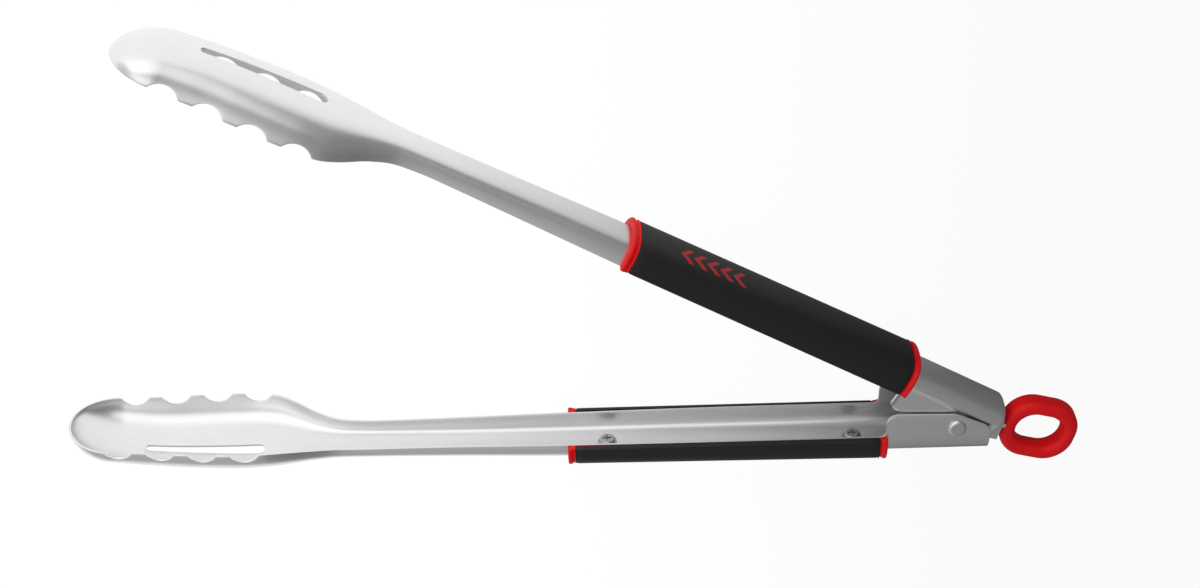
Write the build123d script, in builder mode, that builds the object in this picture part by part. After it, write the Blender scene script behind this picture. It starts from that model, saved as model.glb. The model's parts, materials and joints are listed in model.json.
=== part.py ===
"""Spring loaded kitchen tongs, 18 inch, lying on their side and sprung open.

Two pressed sheet-steel arms turn on one rivet. The upper arm's ears are joggled inwards and nest
inside the lower arm's ears. A torsion spring on a flatted bush pushes the arms apart, and a lock
strip with a pull ring slides on the same bush along the line midway between the arms.

Frame: +X runs from the heads to the ring, +Y from the lower arm to the upper arm, +Z along the
hinge axis. The origin is below the middle of the tongs, on the surface that the heads lie on.

Each arm is drawn in its own frame: x (u) runs along the arm from the hinge to the head, y (v) runs
from the arm's back towards the other arm, and z (w) runs across the arm.
"""

import os
from math import acos, atan2, cos, hypot, pi, radians, sin, sqrt

from build123d import *

# ---------------------------------------------------------------- driving dimensions, mm
HINGE = (171.5, -84.8, 23.8)  # a point on the hinge axis, level with the tongs' middle plane
REST_OPENING = 30.5  # angle between the arms as the spring holds them
ARM_LENGTH = 400.0  # hinge axis to the tip of a head
TAIL_LENGTH = 15.0  # hinge axis to the cut end of the lower arm
UPPER_TAIL_LENGTH = 17.5  # and of the upper arm, whose ears are shorter
SHEET = 1.0  # thickness of the arms' steel
RUNNING = 0.05  # radial clearance of everything that turns or slides on the rivet and bush

# Outside of an arm along its length: (u, half width, rim height v, back height v)
ARM_STATIONS = (
    (-20.0, 13.2, -3.9, -15.5),
    (30.0, 13.2, -3.8, -15.3),
    (100.0, 13.1, -3.5, -14.6),
    (175.0, 12.4, -3.4, -13.5),
    (230.0, 11.2, -3.2, -11.9),
    (262.0, 10.9, -3.2, -10.9),
    (278.0, 11.5, -2.5, -10.6),
    (290.0, 14.8, -0.3, -10.5),
    (300.0, 19.4, 2.7, -10.5),
    (310.0, 22.8, 4.7, -10.4),
    (322.0, 23.8, 5.3, -10.3),
    (345.0, 22.9, 6.0, -9.4),
    (362.0, 21.5, 6.5, -8.1),
    (379.1, 20.9, 7.2, -5.6),
)
NOSE_RADIUS = 20.9  # the head ends in a half circle, seen from above
NOSE_RIM = (7.2, 9.6)  # rim height where the half circle starts, and at the tip
NOSE_DEPTH = 12.8  # depth of the bowl where the half circle starts
CHANNEL_CORNER = (0.36, 0.84)  # how square the channel's corners are, side and floor
HEAD_CORNER = (0.42, 0.68)  # and the head's, which is rounder
CORNER_CHANGE = (262.0, 312.0)  # where the corners change from one to the other
WALL_TOP = 12.0  # the walls are pressed this high before the side profile is cut
SCREW_CLEARANCE = 0.2  # round a grip screw in an arm's floor
PAST = 5.0  # how far a cutting outline reaches past what it cuts
THROUGH = 30.0  # depth of a cut that goes right through
RIM_STEP = 12.0  # spacing of the points that the cut rim passes through
TIP_SHARE = 0.9965  # the last section of a nose, as a share of its radius

# Head
TOOTH_PITCH, NOTCH_COUNT = 18.8, 4
FIRST_NOTCH = 318.1
NOTCH_RADIUS, NOTCH_DEPTH = 7.4, 4.0
SLOT_START, SLOT_END = 317.0, 366.0  # centres of the slot's rounded ends
SLOT_RADII = (3.4, 2.0)

# Ears and rivet
LOWER_EAR = 12.2  # inner face of a lower ear from the middle plane
UPPER_EAR = 10.4  # inner face of an upper ear from the middle plane
JOGGLE = -8.0  # height v at which an upper ear steps inwards
JOGGLE_FRONT = 32.2  # u at which the step ends
LEDGE_LAP = 0.3  # how far the step reaches into the wall that it joins
LOWER_EAR_CORNERS = ((-15.0, -6.0), (-15.0, 0.2), (0.5, 7.5), (31.5, 8.5), (31.5, -3.8), (38.0, -3.8))
LOWER_EAR_RADII = (5.0, 15.0, 4.8, 2.4)
UPPER_EAR_CORNERS = ((-15.8, -8.6), (-15.8, -1.6), (0.5, 5.2), (33.2, 5.9), (33.2, -8.6))
UPPER_EAR_RADII = (5.0, 12.0, 4.6)
RIVET_RADIUS, RIVET_HEAD_RADIUS, RIVET_HEAD_HEIGHT = 2.5, 4.1, 1.3
RIVET_CROWN = 1.2  # rounding of the formed heads
EAR_WASHER_RADIUS = 4.8
EAR_WASHER_PLAY = 0.1  # each side of an ear washer

# Grips
GRIP_START, GRIP_END = 30.8, 174.8
GRIP_REAR = (15.7, -4.1, -19.8)  # half width, rim and back of a grip at its rear end
GRIP_FRONT = (16.0, -3.4, -16.7)  # and at its front end
GRIP_CORNER = (0.3, 0.85)
GRIP_RIM = 3.4  # length of the hard rim at each end of a grip
COVER_THICKNESS = 1.2
COVER_SETBACK = 0.25  # how far the soft cover lies below the rims
GRIP_GAP = 0.15  # between a grip and the arm inside it
GRIP_PLACES = (60.0, 90.0, 120.0, 150.0)  # where the space for the arm is sectioned
RIM_ROUND = 0.9

# Grip screws
SCREW_PLACES = (45.0, 157.0)
SCREW_RADIUS, SCREW_LENGTH = 2.0, 3.0
SCREW_HEAD_RADIUS, SCREW_HEAD_HEIGHT = 3.6, 2.2
SCREW_CROWN = 1.0
CROSS_LENGTH, CROSS_WIDTH, CROSS_DEPTH = 4.0, 0.9, 1.3
WASHER_RADIUS, WASHER_THICKNESS = 4.5, 0.8
WASHER_LIFT = 0.5  # the washer bridges the gentle curve of the channel's floor
WASHER_PLAY = 0.15  # round the screw in its washer
SCREW_BOTTOM = 0.1  # under the screw's end in its bore

# Bush, spring, lock strip and ring
BUSH_RADIUS, BUSH_HALF, BUSH_FLAT = 4.0, 10.1, 3.0
COIL_RADIUS, WIRE_RADIUS, COIL_PITCH, COIL_TURNS = 5.4, 0.8, 1.9, 4
SPRING_FOOT = (24.0, -13.1)  # where a spring leg's end rests near an arm's floor, (u, v)
STRIP_HALF, STRIP_SHEET, STRIP_HEIGHT = 8.5, 1.0, 10.6
STRIP_FRONT, STRIP_TAIL = -18.0, 21.5
LOCK_TRAVEL = 10.0
WING_HEIGHT, WING_LENGTH = 16.0, 3.6
TONGUE_HALF, TONGUE_LENGTH = 4.5, 5.5
RING_CENTRE = 41.0
RING_LENGTH, RING_HEIGHT, RING_CORNER = 34.8, 30.4, 13.4
HOLE_LENGTH, HOLE_HEIGHT, HOLE_CORNER = 21.6, 17.0, 8.3
RING_DEPTH, RING_ROUND = 10.4, 3.1
BUSH_PLAY = 0.3  # round the bush in the lock strip's slot
FLAT_MARGIN = 0.2  # each side of a lock strip's sheet on the bush's flats

# ---------------------------------------------------------------- frames
OPEN = radians(REST_OPENING)
LOWER = Plane(origin=HINGE, x_dir=(-1, 0, 0), z_dir=(0, 0, -1))
UPPER = Plane(origin=HINGE, x_dir=(-cos(OPEN), sin(OPEN), 0), z_dir=(0, 0, 1))
PULL = Plane(origin=HINGE, x_dir=(cos(OPEN / 2), -sin(OPEN / 2), 0), z_dir=(0, 0, 1))
HINGE_AXIS = Axis(HINGE, (0, 0, 1))
SIDES = (-1, 1)


def across(frame, u):
    """The plane that cuts an arm's frame square at u: local x is w reversed, local y is v."""
    return Plane(
        origin=frame.from_local_coords(Vector(u, 0, 0)),
        x_dir=-frame.z_dir,
        z_dir=frame.x_dir,
    )


# ---------------------------------------------------------------- the arms' sheet
def steady_slope(table, i, column):
    """Slope of a column at row i of a station table, chosen so that the curve never overshoots."""
    if i in (0, len(table) - 1):
        return 0.0
    before, here, after = table[i - 1], table[i], table[i + 1]
    rise_in = (here[column] - before[column]) / (here[0] - before[0])
    rise_out = (after[column] - here[column]) / (after[0] - here[0])
    if rise_in * rise_out <= 0:
        return 0.0
    return 2 * rise_in * rise_out / (rise_in + rise_out)


def along(table, u, column):
    """Value of one column of a station table at u, on a smooth curve through the stations."""
    last = len(table) - 2
    i = next((k for k in range(last) if u < table[k + 1][0]), last)
    start, end = table[i], table[i + 1]
    span = end[0] - start[0]
    t = (u - start[0]) / span
    slope_0 = steady_slope(table, i, column) * span
    slope_1 = steady_slope(table, i + 1, column) * span
    rise = end[column] - start[column]
    return (
        start[column]
        + slope_0 * t
        + (3 * rise - 2 * slope_0 - slope_1) * t**2
        + (slope_0 + slope_1 - 2 * rise) * t**3
    )


def arm_size(u, inset):
    """Half width, rim height and back height of the arm at u, moved inwards by inset."""
    nose = ARM_LENGTH - NOSE_RADIUS
    if u <= nose:
        half, rim, back = (along(ARM_STATIONS, u, column) for column in (1, 2, 3))
        return half - inset, rim, back + inset
    reach = (u - nose) / NOSE_RADIUS
    rim = NOSE_RIM[0] + (NOSE_RIM[1] - NOSE_RIM[0]) * reach**1.5
    half = sqrt((NOSE_RADIUS - inset) ** 2 - (u - nose) ** 2)
    inner_reach = (u - nose) / (NOSE_RADIUS - inset)
    back = rim - (NOSE_DEPTH - inset) * (1 - inner_reach**1.7) ** 0.7
    return half, rim, back


def arm_corner(u):
    """How square the section's corners are at u."""
    first, last = CORNER_CHANGE
    share = min(max((u - first) / (last - first), 0.0), 1.0)
    share = share * share * (3 - 2 * share)
    return tuple(a + (b - a) * share for a, b in zip(CHANNEL_CORNER, HEAD_CORNER))


def arm_places(inset, tail):
    """Where the arm is sectioned: every station and between them, and closer round the nose."""
    places = [-tail - (SHEET if inset else 0.0), 10.0, 36.0, 60.0, 90.0, 120.0, 150.0, 180.0]
    places += [205.0, 230.0, 248.0, 262.0, 272.0, 280.0, 286.0, 291.0, 296.0, 301.0, 307.0]
    places += [314.0, 322.0, 333.0, 345.0, 356.0, 368.0, 379.0]
    nose = ARM_LENGTH - NOSE_RADIUS
    steps = 8
    for k in range(1, steps):
        places.append(nose + (NOSE_RADIUS - inset) * sin(radians(90 * k / steps)))
    places.append(nose + (NOSE_RADIUS - inset) * TIP_SHARE)
    return places


def channel_section(frame, u, size, corner, lid):
    """A closed U outline at u: a curved floor up to the rim, then walls up by lid, then a lid."""
    half, rim, back = size
    side = back + corner[0] * (rim - back)
    floor = corner[1] * half
    with BuildSketch(across(frame, u)) as section:
        with BuildLine():
            Bezier((half, rim), (half, side), (floor, back), (0, back))
            Bezier((0, back), (-floor, back), (-half, side), (-half, rim))
            if lid:
                Polyline((-half, rim), (-half, rim + lid), (half, rim + lid), (half, rim))
            else:
                Line((-half, rim), (half, rim))
        make_face()
    return section.sketch


def arm_block(frame, inset, top, places):
    """Closed sections of the arm, moved inwards by inset and carried up to height top."""
    sections = []
    for u in places:
        size = arm_size(u, inset)
        sections.append(channel_section(frame, u, size, arm_corner(u), top - size[1]))
    return sections


def cut_side_profile(frame, start, ear_corners=None, ear_radii=None):
    """What the press cuts off the walls: all above the rim from start to past the tip, and the
    notches between the teeth, but not an ear that stands up out of the wall."""
    count = round((ARM_LENGTH - start) / RIM_STEP)
    places = [start + (ARM_LENGTH - RUNNING - start) * k / count for k in range(count + 1)]
    rim = [(u, arm_size(u, 0)[1]) for u in places]
    with BuildSketch(frame) as waste:
        with BuildLine():
            Spline(*rim)
            Polyline(
                rim[-1],
                (ARM_LENGTH + PAST, NOSE_RIM[1]),
                (ARM_LENGTH + PAST, WALL_TOP + PAST),
                (start, WALL_TOP + PAST),
                rim[0],
            )
        make_face()
        for k in range(NOTCH_COUNT):
            u = FIRST_NOTCH + k * TOOTH_PITCH
            with Locations((u, arm_size(u, 0)[1] + NOTCH_RADIUS - NOTCH_DEPTH)):
                Circle(NOTCH_RADIUS)
        if ear_corners:
            with BuildLine():
                ear = FilletPolyline(*ear_corners, radius=ear_radii)
                Line(ear @ 1, ear @ 0)
            make_face(mode=Mode.SUBTRACT)
    return waste.sketch


def floor_plane(frame, u, v):
    """A plane that lies along the channel's floor at u and height v, facing the other arm."""
    return Plane(
        origin=frame.from_local_coords(Vector(u, v, 0)), x_dir=frame.x_dir, z_dir=frame.y_dir
    )


def floor_height(u):
    """Inner face of the channel's floor at u."""
    return arm_size(u, SHEET)[2]


def ear_sketch(frame, w):
    """Outline of an upper ear, with its rivet hole, in the arm's side plane at w."""
    with BuildSketch(frame.offset(w)) as ear:
        with BuildLine():
            path = FilletPolyline(*UPPER_EAR_CORNERS, radius=UPPER_EAR_RADII)
            Line(path @ 1, path @ 0)
        make_face()
        Circle(RIVET_RADIUS + RUNNING, mode=Mode.SUBTRACT)
    return ear.sketch


# ---------------------------------------------------------------- arms
def pressed_arm(frame, tail, ear_corners=None, ear_radii=None):
    """One arm: a channel that flares into a toothed, slotted head."""
    with BuildPart() as arm:
        loft(sections=arm_block(frame, 0.0, WALL_TOP, arm_places(0.0, tail)))
        inside = arm_block(frame, SHEET, WALL_TOP + PAST, arm_places(SHEET, tail))
        loft(sections=inside, mode=Mode.SUBTRACT)
        waste = cut_side_profile(frame, -tail - PAST, ear_corners, ear_radii)
        extrude(waste, amount=THROUGH, both=True, mode=Mode.SUBTRACT)
        with BuildSketch(floor_plane(frame, 0, 0)):
            with Locations((SLOT_START, 0)):
                Circle(SLOT_RADII[0])
            with Locations((SLOT_END, 0)):
                Circle(SLOT_RADII[1])
            make_hull()
        extrude(amount=-THROUGH, mode=Mode.SUBTRACT)
        with BuildSketch(floor_plane(frame, 0, WALL_TOP)):
            with Locations(*((place, 0) for place in SCREW_PLACES)):
                Circle(SCREW_RADIUS + SCREW_CLEARANCE)
        extrude(amount=-THROUGH, mode=Mode.SUBTRACT)
    return arm.part


with BuildPart() as lower_arm:
    add(pressed_arm(LOWER, TAIL_LENGTH, LOWER_EAR_CORNERS, LOWER_EAR_RADII))
    with BuildSketch(LOWER):
        Circle(RIVET_RADIUS + RUNNING)
    extrude(amount=THROUGH, both=True, mode=Mode.SUBTRACT)

with BuildPart() as upper_arm:
    add(pressed_arm(UPPER, UPPER_TAIL_LENGTH))
    # the walls stop at the joggle behind its front edge
    with BuildSketch(UPPER):
        with Locations((JOGGLE_FRONT, JOGGLE)):
            Rectangle(2 * THROUGH, THROUGH, align=(Align.MAX, Align.MIN))
    extrude(amount=THROUGH, both=True, mode=Mode.SUBTRACT)
    wall_rim = arm_size(JOGGLE_FRONT, 0)[1] - RUNNING
    for side in SIDES:
        inner = side * UPPER_EAR
        # the ledge under the wall and the step at its front join the ear to the channel
        with BuildSketch(UPPER.offset(inner)):
            with Locations((-UPPER_TAIL_LENGTH, JOGGLE)):
                Rectangle(
                    JOGGLE_FRONT + UPPER_TAIL_LENGTH + SHEET, SHEET, align=(Align.MIN, Align.MAX)
                )
            with Locations((JOGGLE_FRONT, JOGGLE - SHEET)):
                Rectangle(SHEET, wall_rim - JOGGLE + SHEET, align=(Align.MIN, Align.MIN))
        extrude(amount=side * (LOWER_EAR + LEDGE_LAP - UPPER_EAR))
        extrude(ear_sketch(UPPER, inner), amount=side * SHEET)

# ---------------------------------------------------------------- rivet, ear washers and bush
def ring_plate(frame, w, outer, inner, amount):
    """A flat round washer on the hinge axis, from w outwards by amount."""
    with BuildPart() as plate:
        with BuildSketch(frame.offset(w)):
            Circle(outer)
            Circle(inner, mode=Mode.SUBTRACT)
        extrude(amount=amount)
    return plate.part


HEAD_FACE = LOWER_EAR + SHEET + RUNNING
with BuildPart() as hinge_rivet:
    with BuildSketch(LOWER):
        Circle(RIVET_RADIUS)
    extrude(amount=HEAD_FACE, both=True)
    for side in SIDES:
        with BuildSketch(LOWER.offset(side * HEAD_FACE)):
            Circle(RIVET_HEAD_RADIUS)
        extrude(amount=side * RIVET_HEAD_HEIGHT)
    crowns = faces().filter_by(Axis.Z).group_by(Axis.Z)
    fillet(crowns[0].edges() + crowns[-1].edges(), radius=RIVET_CROWN)

washer_gap = LOWER_EAR - UPPER_EAR - SHEET
washer_thick = washer_gap - 2 * EAR_WASHER_PLAY
ear_washers = {
    name: ring_plate(
        LOWER,
        side * (LOWER_EAR - EAR_WASHER_PLAY),
        EAR_WASHER_RADIUS,
        RIVET_RADIUS + RUNNING,
        -side * washer_thick,
    )
    for name, side in (("far_ear_washer", 1), ("near_ear_washer", -1))
}

with BuildPart() as spacer_bush:
    with BuildSketch(PULL.offset(-BUSH_HALF)):
        Circle(BUSH_RADIUS)
        Circle(RIVET_RADIUS + RUNNING, mode=Mode.SUBTRACT)
    extrude(amount=2 * BUSH_HALF)
    # two flats at each end keep the lock strip square to the bush
    for side in SIDES:
        with BuildSketch(PULL.offset(side * (STRIP_HALF - STRIP_SHEET - FLAT_MARGIN))):
            with Locations((0, BUSH_FLAT), (0, -BUSH_FLAT - PAST)):
                Rectangle(2 * BUSH_RADIUS + 1, PAST, align=(Align.CENTER, Align.MIN))
        extrude(amount=side * (STRIP_SHEET + 2 * FLAT_MARGIN), mode=Mode.SUBTRACT)

# ---------------------------------------------------------------- torsion spring
foot_distance = hypot(*SPRING_FOOT)
foot_angle = atan2(SPRING_FOOT[1], SPRING_FOOT[0])
touch_angle = foot_angle - acos(COIL_RADIUS / foot_distance)  # where the lower leg leaves the coil
turn = 2 * touch_angle + 2 * pi - OPEN  # from the upper leg's start back round to the lower leg's
coil_sweep = 2 * pi * COIL_TURNS + turn
coil_height = COIL_PITCH * coil_sweep / (2 * pi)


def leg(frame, w):
    """One straight leg of the spring, from the coil to the arm's floor."""
    start = Vector(COIL_RADIUS * cos(touch_angle), COIL_RADIUS * sin(touch_angle), w)
    foot = Vector(SPRING_FOOT[0], SPRING_FOOT[1], w)
    direction = frame.from_local_coords(foot) - frame.from_local_coords(start)
    with BuildPart() as straight:
        with BuildSketch(Plane(frame.from_local_coords(start), z_dir=direction)):
            Circle(WIRE_RADIUS)
        extrude(amount=direction.length)
    return straight.part


coil_start = Vector(COIL_RADIUS * cos(touch_angle), COIL_RADIUS * sin(touch_angle), coil_height / 2)
with BuildPart() as torsion_spring:
    coil_plane = Plane(
        origin=LOWER.from_local_coords(Vector(0, 0, coil_height / 2)),
        x_dir=LOWER.from_local_coords(coil_start)
        - LOWER.from_local_coords(Vector(0, 0, coil_height / 2)),
        z_dir=(0, 0, 1),
    )
    with BuildLine(coil_plane) as coil_path:
        Helix(pitch=COIL_PITCH, height=coil_height, radius=COIL_RADIUS)
    with BuildSketch(Plane(coil_path.line @ 0, z_dir=coil_path.line % 0)):
        Circle(WIRE_RADIUS)
    sweep(path=coil_path.line, is_frenet=True)
    add(leg(LOWER, coil_height / 2))
    add(leg(UPPER, coil_height / 2))

# ---------------------------------------------------------------- lock strip and pull ring
slot_half = BUSH_RADIUS + BUSH_PLAY
with BuildPart() as lock_strip:
    for side in SIDES:
        with BuildSketch(PULL.offset(side * STRIP_HALF)):
            with Locations((STRIP_FRONT, 0)):
                Rectangle(STRIP_TAIL - STRIP_FRONT, STRIP_HEIGHT, align=(Align.MIN, Align.CENTER))
                Rectangle(WING_LENGTH, WING_HEIGHT, align=(Align.MIN, Align.CENTER))
            with Locations((-LOCK_TRAVEL / 2, 0)):
                Rectangle(LOCK_TRAVEL + 2 * slot_half, 2 * (BUSH_FLAT + RUNNING), mode=Mode.SUBTRACT)
        extrude(amount=-side * STRIP_SHEET)
    with BuildSketch(PULL.offset(-STRIP_HALF)):
        with Locations((STRIP_TAIL, 0)):
            Rectangle(STRIP_SHEET, STRIP_HEIGHT, align=(Align.MAX, Align.CENTER))
    extrude(amount=2 * STRIP_HALF)
    # the tongue that the ring is moulded on
    with BuildSketch(PULL.offset(-TONGUE_HALF)):
        with Locations((STRIP_TAIL, 0)):
            Rectangle(TONGUE_LENGTH, 2 * STRIP_SHEET, align=(Align.MIN, Align.CENTER))
    extrude(amount=2 * TONGUE_HALF)

with BuildPart() as pull_ring:
    with BuildSketch(PULL.offset(-RING_DEPTH / 2)):
        with Locations((RING_CENTRE, 0)):
            RectangleRounded(RING_LENGTH, RING_HEIGHT, RING_CORNER)
            RectangleRounded(HOLE_LENGTH, HOLE_HEIGHT, HOLE_CORNER, mode=Mode.SUBTRACT)
    extrude(amount=RING_DEPTH)
    faces_of_ring = faces().filter_by(Axis.Z)
    fillet(faces_of_ring.edges(), radius=RING_ROUND)
    with BuildSketch(PULL.offset(-TONGUE_HALF - RUNNING)):
        with Locations((STRIP_TAIL, 0)):
            Rectangle(
                TONGUE_LENGTH + RUNNING, 2 * (STRIP_SHEET + RUNNING), align=(Align.MIN, Align.CENTER)
            )
    extrude(amount=2 * (TONGUE_HALF + RUNNING), mode=Mode.SUBTRACT)


# ---------------------------------------------------------------- grips
def grip_size(u, inset):
    """Half width, rim height and back height of a grip at u, moved inwards by inset."""
    share = (u - GRIP_START) / (GRIP_END - GRIP_START)
    half, rim, back = (rear + (front - rear) * share for rear, front in zip(GRIP_REAR, GRIP_FRONT))
    return half - inset, rim, back + inset


def grip_block(frame, start, end, inset):
    """The two end sections of a length of grip."""
    return [
        channel_section(frame, u, grip_size(u, inset), GRIP_CORNER, 0.0) for u in (start, end)
    ]


def core_block(frame, start, end, growth):
    """The two end sections of the core below its cover, grown by growth to clear it."""
    sections = []
    for u in (start, end):
        half, rim, back = grip_size(u, COVER_THICKNESS - growth)
        size = (half, rim - COVER_THICKNESS + growth, back)
        sections.append(channel_section(frame, u, size, GRIP_CORNER, 0.0))
    return sections


def rim_block(frame, end, inward):
    """Sections of a rim from its rounded end face inwards along the grip."""
    sections = []
    for angle in (0, 25, 55, 90):
        u = end + inward * RIM_ROUND * (1 - cos(radians(angle)))
        size = grip_size(u, RIM_ROUND * (1 - sin(radians(angle))))
        sections.append(channel_section(frame, u, size, GRIP_CORNER, 0.0))
    inner_end = end + inward * GRIP_RIM
    sections.append(channel_section(frame, inner_end, grip_size(inner_end, 0.0), GRIP_CORNER, 0.0))
    return sections


def arm_space(frame, gap):
    """Sections of the space that the arm fills inside a grip, with a gap round it."""
    places = (GRIP_START - PAST, *GRIP_PLACES, GRIP_END + PAST)
    return arm_block(frame, -gap, WALL_TOP, places)


def grip_core(frame):
    """Hard core of a grip, with a rim at each end and a bored boss for each screw."""
    with BuildPart() as core:
        loft(sections=core_block(frame, GRIP_START, GRIP_END, 0.0))
        loft(sections=rim_block(frame, GRIP_START, 1))
        loft(sections=rim_block(frame, GRIP_END, -1))
        loft(sections=arm_space(frame, GRIP_GAP), mode=Mode.SUBTRACT)
        for place in SCREW_PLACES:
            with BuildSketch(floor_plane(frame, place, floor_height(place))):
                Circle(SCREW_RADIUS + RUNNING)
            extrude(amount=-SCREW_LENGTH - SCREW_BOTTOM, mode=Mode.SUBTRACT)
    return core.part


def grip_cover(frame):
    """Soft cover that lies between the rims of a core and hooks over the core's top edges."""
    start, end = GRIP_START + GRIP_RIM + RUNNING, GRIP_END - GRIP_RIM - RUNNING
    with BuildPart() as cover:
        loft(sections=grip_block(frame, start, end, COVER_SETBACK))
        loft(sections=core_block(frame, start - PAST, end + PAST, RUNNING), mode=Mode.SUBTRACT)
        loft(sections=arm_space(frame, 2 * GRIP_GAP), mode=Mode.SUBTRACT)
    return cover.part


def grip_washer(frame, u):
    """Washer under a grip screw's head."""
    with BuildPart() as washer:
        with BuildSketch(floor_plane(frame, u, floor_height(u) + WASHER_LIFT)):
            Circle(WASHER_RADIUS)
            Circle(SCREW_RADIUS + WASHER_PLAY, mode=Mode.SUBTRACT)
        extrude(amount=WASHER_THICKNESS)
    return washer.part


def grip_screw(frame, u):
    """Pan head screw with a cross recess, driven from inside the channel into the core."""
    seat = floor_height(u) + WASHER_LIFT + WASHER_THICKNESS
    with BuildPart() as screw:
        with BuildSketch(floor_plane(frame, u, seat)):
            Circle(SCREW_HEAD_RADIUS)
        extrude(amount=SCREW_HEAD_HEIGHT)
        crown = faces().sort_by(Axis(frame.origin, frame.y_dir))[-1]
        fillet(crown.edges(), radius=SCREW_CROWN)
        with BuildSketch(floor_plane(frame, u, seat + SCREW_HEAD_HEIGHT)):
            Rectangle(CROSS_LENGTH, CROSS_WIDTH)
            Rectangle(CROSS_WIDTH, CROSS_LENGTH)
        extrude(amount=-CROSS_DEPTH, mode=Mode.SUBTRACT)
        with BuildSketch(floor_plane(frame, u, seat)):
            Circle(SCREW_RADIUS)
        extrude(amount=floor_height(u) - SCREW_LENGTH - seat)
    return screw.part


# ---------------------------------------------------------------- write every piece
pieces = {
    "lower_arm": lower_arm.part,
    "upper_arm": upper_arm.part,
    "hinge_rivet": hinge_rivet.part,
    "spacer_bush": spacer_bush.part,
    "torsion_spring": torsion_spring.part,
    "lock_strip": lock_strip.part,
    "pull_ring": pull_ring.part,
    **ear_washers,
}
for arm_name, frame in (("lower", LOWER), ("upper", UPPER)):
    pieces[f"{arm_name}_grip_core"] = grip_core(frame)
    pieces[f"{arm_name}_grip_cover"] = grip_cover(frame)
    for place_name, place in zip(("rear", "front"), SCREW_PLACES):
        pieces[f"{arm_name}_{place_name}_washer"] = grip_washer(frame, place)
        pieces[f"{arm_name}_{place_name}_screw"] = grip_screw(frame, place)

os.makedirs("parts", exist_ok=True)
for name, piece in pieces.items():
    piece.label = name
    export_step(piece, f"parts/{name}.step")
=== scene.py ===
# %% [markdown]
# # Spring loaded kitchen tongs
# This lesson dresses a pair of locking kitchen tongs: two pressed steel arms that turn on one
# rivet, a soft black grip with red rims on each arm, a spring between them, and a red pull ring
# on the lock strip. The measured parts come in first and are never moved. Every new piece is
# modelled around them, then given its finish, and last come the floor, the lights and the camera.

import json
from math import acos, atan2, cos, hypot, pi, radians, sin, sqrt, tan

import bmesh
import bpy
from mathutils import Matrix, Vector


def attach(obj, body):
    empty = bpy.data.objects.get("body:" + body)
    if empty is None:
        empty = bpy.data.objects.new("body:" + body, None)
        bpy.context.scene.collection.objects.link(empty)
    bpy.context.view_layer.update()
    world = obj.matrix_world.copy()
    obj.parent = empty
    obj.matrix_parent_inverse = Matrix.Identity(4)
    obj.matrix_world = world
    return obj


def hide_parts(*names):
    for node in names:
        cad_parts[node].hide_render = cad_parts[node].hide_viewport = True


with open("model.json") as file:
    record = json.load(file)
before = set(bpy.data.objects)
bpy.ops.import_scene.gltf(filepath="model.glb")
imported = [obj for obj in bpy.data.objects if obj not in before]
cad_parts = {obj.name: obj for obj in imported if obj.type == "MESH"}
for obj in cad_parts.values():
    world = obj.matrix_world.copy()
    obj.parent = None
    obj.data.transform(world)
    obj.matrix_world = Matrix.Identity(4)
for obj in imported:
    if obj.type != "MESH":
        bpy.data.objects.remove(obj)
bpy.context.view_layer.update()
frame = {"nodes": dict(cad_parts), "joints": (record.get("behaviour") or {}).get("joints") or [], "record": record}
nodes = frame["nodes"]

# %% [markdown]
# ## Two frames to work in
# Each arm is drawn lying in its own frame: u runs from the hinge to the tip, v from the arm's
# back towards the other arm, and w across the arm. One matrix per arm then puts a finished mesh
# in its place, so both arms can be made by the same steps. The hinge's place comes from the
# joint between the arms.

# %% The arms' frames
MM = 0.001
OPEN = radians(30.5)  # angle between the arms at rest
hinge_joint = next(joint for joint in frame["joints"] if joint["name"] == "arm_hinge")
HINGE = Vector(hinge_joint["pos_m"])


def placing(x_axis, z_axis):
    """A matrix that takes millimetres in a frame at the hinge to metres in the world."""
    x_axis, z_axis = Vector(x_axis), Vector(z_axis)
    turn = Matrix((x_axis, z_axis.cross(x_axis), z_axis)).transposed()
    return Matrix.Translation(HINGE) @ turn.to_4x4() @ Matrix.Scale(MM, 4)


LOWER = placing((-1, 0, 0), (0, 0, -1))
UPPER = placing((-cos(OPEN), sin(OPEN), 0), (0, 0, 1))
print("hinge at", [round(value, 4) for value in HINGE])

# %% [markdown]
# ## Small helpers
# Operators act on whatever is selected, so everything is deselected before each new primitive.
# A piece is built in millimetres in its arm's frame; `settle` moves the mesh, not the object, so
# that every object stays at the origin and patterns stay fixed to the surface.


# %% Selecting, settling and modifying
def fresh():
    """Nothing selected, and out of edit mode."""
    if bpy.context.object and bpy.context.object.mode != "OBJECT":
        bpy.ops.object.mode_set(mode="OBJECT")
    bpy.ops.object.select_all(action="DESELECT")


def named(name):
    """The primitive that was just added, named."""
    piece = bpy.context.object
    piece.name = piece.data.name = name
    return piece


def settle(piece, place):
    """Moves a finished mesh into its place in the world and points its faces outwards."""
    piece.data.transform(place)
    if place.determinant() < 0:
        piece.data.flip_normals()
    return piece


def modify(piece, kind, **settings):
    """Adds one modifier and applies it."""
    fresh()
    bpy.context.view_layer.objects.active = piece
    piece.select_set(True)
    modifier = piece.modifiers.new(kind.title(), kind)
    for key, value in settings.items():
        setattr(modifier, key, value)
    bpy.ops.object.modifier_apply(modifier=modifier.name)


def edit(piece, *steps):
    """Runs edit-mode operators, one after another, on the whole mesh."""
    fresh()
    bpy.context.view_layer.objects.active = piece
    piece.select_set(True)
    bpy.ops.object.mode_set(mode="EDIT")
    bpy.ops.mesh.select_all(action="SELECT")
    for operator, settings in steps:
        operator(**settings)
    bpy.ops.object.mode_set(mode="OBJECT")


def smooth(piece, degrees=35):
    """Smooth shading, with edges sharper than the angle kept crisp."""
    fresh()
    bpy.context.view_layer.objects.active = piece
    piece.select_set(True)
    bpy.ops.object.shade_smooth_by_angle(angle=radians(degrees))


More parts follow.
